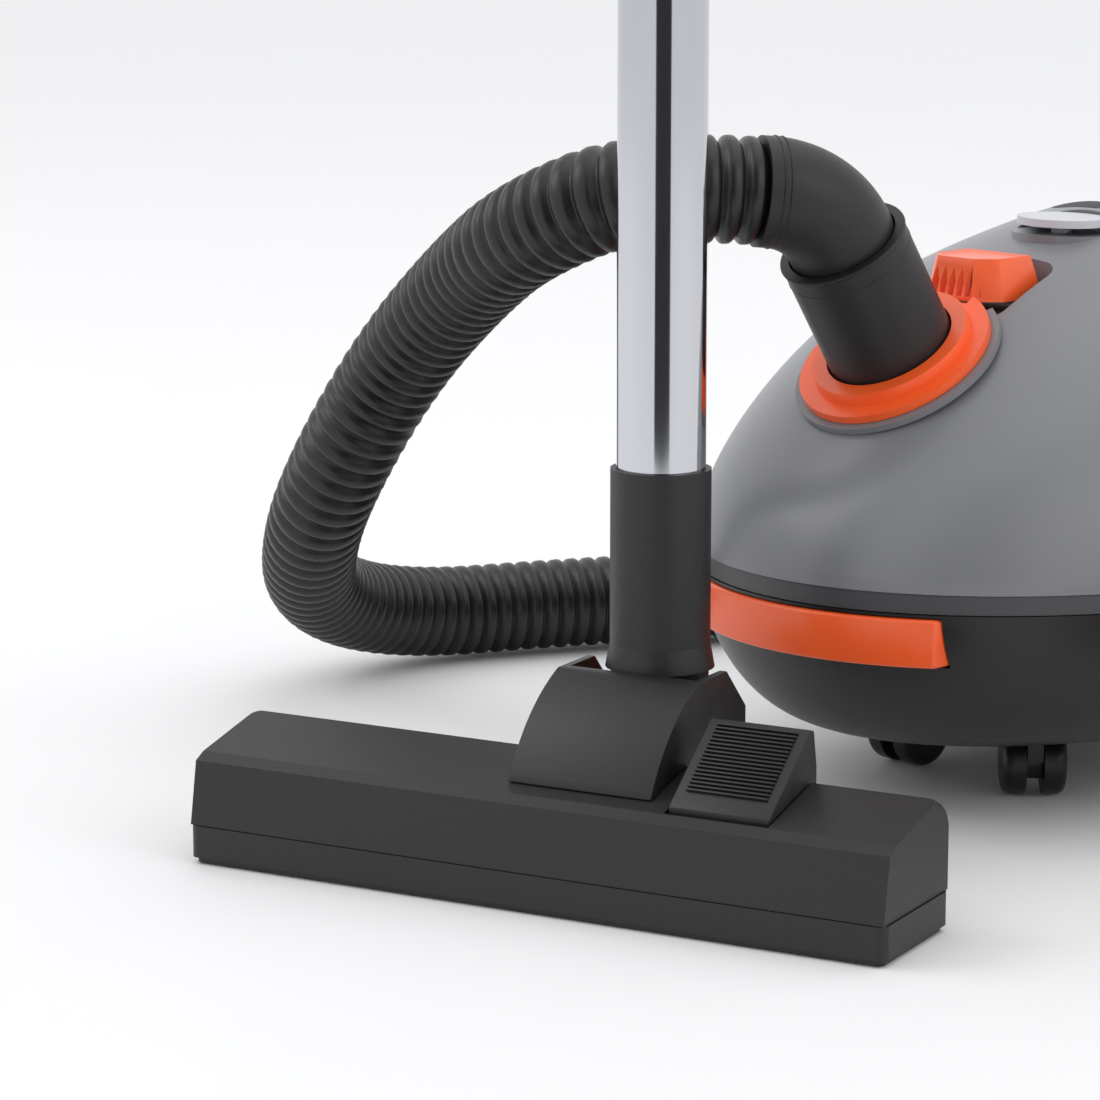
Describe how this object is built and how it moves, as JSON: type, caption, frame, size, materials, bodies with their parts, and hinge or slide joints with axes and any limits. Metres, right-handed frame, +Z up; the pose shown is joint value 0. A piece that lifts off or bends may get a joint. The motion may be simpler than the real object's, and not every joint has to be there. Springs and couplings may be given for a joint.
{
  "type": "canister vacuum cleaner",
  "caption": "Canister vacuum cleaner with a domed body, ribbed suction hose, chrome telescopic wand and a wide floor head.",
  "frame": {"origin": "on the floor, at the middle of the footprint of the canister, wand and floor head together, the hose left out", "axes": "+Z up; -Y is the way the canister's nose and inlet face; +X across the canister, to its left as it faces forward"},
  "size_m": [0.6129, 0.6421, 0.64],
  "materials": {
    "grey_shell": "satin",
    "dark_band": "satin",
    "black_base": "satin",
    "orange": "satin",
    "button_grey": "satin",
    "chrome_tube": "polished",
    "head_black": "fine grain",
    "hose_black": "satin",
    "soft_rubber": "matt",
    "tyre_rubber": "matt",
    "steel": "bright",
    "motor_metal": "cast",
    "inner_plastic": "plain",
    "copper_stack": "plain",
    "filter_cloth": "soft",
    "bag_paper": "soft",
    "board_green": "plain",
    "bristle": "bristle"
  },
  "bodies": {
    "canister": {"upper_shell": "grey_shell", "exhaust_grille": "dark_band", "seam_band": "dark_band", "lower_housing": "black_base", "base_screws": "steel", "inlet_ring": "orange", "inlet_seal": "soft_rubber", "hose_collar": "head_black", "hose_elbow": "head_black", "handle_pin": "steel", "motor_housing": "motor_metal", "motor_stator": "copper_stack", "dust_bag": "bag_paper", "bag_holder": "inner_plastic", "motor_filter": "filter_cloth", "exhaust_filter": "filter_cloth", "control_board": "board_green", "reel_post": "steel", "cord_outlet": "soft_rubber", "stub_axle_left": "steel", "stub_axle_right": "steel", "hose": "hose_black", "hand_grip": "head_black", "hose_cuff": "soft_rubber", "neck_socket": "head_black", "wand_tube": "chrome_tube", "lock_sleeve": "head_black"},
    "latch": {"front_latch": "orange"},
    "knob": {"speed_knob": "orange"},
    "power": {"power_button": "button_grey"},
    "handle": {"carry_handle": "grey_shell"},
    "rotor": {"motor_rotor": "steel", "fan": "motor_metal"},
    "reel": {"cord_reel": "inner_plastic"},
    "wheel_left": {"tyre_left": "tyre_rubber", "hub_left": "dark_band"},
    "wheel_right": {"tyre_right": "tyre_rubber", "hub_right": "dark_band"},
    "caster_left": {"caster_fork_left": "black_base"},
    "caster_right": {"caster_fork_right": "black_base"},
    "twin_left": {"caster_wheels_left": "black_base"},
    "twin_right": {"caster_wheels_right": "black_base"},
    "slider": {"air_slider": "orange"},
    "telescope": {"inner_tube": "chrome_tube"},
    "lock": {"lock_button": "orange"},
    "joint_elbow": {"neck_elbow": "head_black"},
    "floor_head": {"head_cover": "head_black", "head_base": "head_black", "sole_plate": "black_base", "pivot_hood": "head_black", "pedal_pin": "steel", "tilt_pin_left": "steel", "tilt_pin_right": "steel"},
    "pedal": {"brush_pedal": "head_black"},
    "brushes": {"brush_frame": "bristle"}
  },
  "joints": [
    {"name": "latch_pull", "type": "slide", "parent": "canister", "child": "latch", "axis": [0, -1, 0], "range_m": [0, 0.003]},
    {"name": "knob_press", "type": "slide", "parent": "canister", "child": "knob", "axis": [0, 0, -1], "range_m": [0, 0.004], "stiffness_N_per_m": 400},
    {"name": "power_press", "type": "slide", "parent": "canister", "child": "power", "axis": [0, 0, -1], "range_m": [0, 0.0025], "stiffness_N_per_m": 500},
    {"name": "handle_lift", "type": "hinge", "parent": "canister", "child": "handle", "pos_m": [-0.0115, 0.16846, 0.2111], "axis": [-1, 0, 0], "range_deg": [0, 75]},
    {"name": "rotor_spin", "type": "hinge", "parent": "canister", "child": "rotor", "pos_m": [-0.0115, 0.11146, 0.1], "axis": [0, 1, 0], "continuous": true},
    {"name": "reel_spin", "type": "hinge", "parent": "canister", "child": "reel", "pos_m": [-0.0115, 0.19446, 0.072], "axis": [0, 0, 1], "continuous": true},
    {"name": "wheel_left_spin", "type": "hinge", "parent": "canister", "child": "wheel_left", "pos_m": [-0.1145, 0.19846, 0.052], "axis": [1, 0, 0], "continuous": true},
    {"name": "wheel_right_spin", "type": "hinge", "parent": "canister", "child": "wheel_right", "pos_m": [0.0915, 0.19846, 0.052], "axis": [1, 0, 0], "continuous": true},
    {"name": "caster_left_swivel", "type": "hinge", "parent": "canister", "child": "caster_left", "pos_m": [-0.0475, 0.03646, 0.03], "axis": [0, 0, 1], "continuous": true},
    {"name": "caster_right_swivel", "type": "hinge", "parent": "canister", "child": "caster_right", "pos_m": [0.0245, 0.03646, 0.03], "axis": [0, 0, 1], "continuous": true},
    {"name": "caster_left_roll", "type": "hinge", "parent": "caster_left", "child": "twin_left", "pos_m": [-0.0475, 0.04346, 0.013], "axis": [1, 0, 0], "continuous": true},
    {"name": "caster_right_roll", "type": "hinge", "parent": "caster_right", "child": "twin_right", "pos_m": [0.01938, 0.04124, 0.013], "axis": [0.682, 0.7314, 0], "continuous": true},
    {"name": "air_slide", "type": "slide", "parent": "canister", "child": "slider", "axis": [0.3872, -0.9218, 0.0184], "range_m": [0, 0.012]},
    {"name": "telescope_slide", "type": "slide", "parent": "canister", "child": "telescope", "axis": [0, 0, 1], "range_m": [0, 0.2]},
    {"name": "lock_press", "type": "slide", "parent": "canister", "child": "lock", "axis": [0, 0, -1], "range_m": [0, 0.0045], "stiffness_N_per_m": 400},
    {"name": "neck_swivel", "type": "hinge", "parent": "canister", "child": "joint_elbow", "pos_m": [-0.00293, -0.13811, 0.074], "axis": [0, 0, 1], "range_deg": [-40, 40]},
    {"name": "head_tilt", "type": "hinge", "parent": "joint_elbow", "child": "floor_head", "pos_m": [-0.00293, -0.13811, 0.048], "axis": [0.9472, 0.3206, 0], "range_deg": [0, 55]},
    {"name": "pedal_rock", "type": "hinge", "parent": "floor_head", "child": "pedal", "pos_m": [0.06518, -0.16468, 0.03], "axis": [0.9472, 0.3206, 0], "range_deg": [0, 9]},
    {"name": "brush_drop", "type": "slide", "parent": "floor_head", "child": "brushes", "axis": [0, 0, -1], "range_m": [0, 0.0035]}
  ],
  "couplings": [
    {"joint": "brush_drop", "follows": "pedal_rock", "m_per_rad": 0.022282}
  ]
}
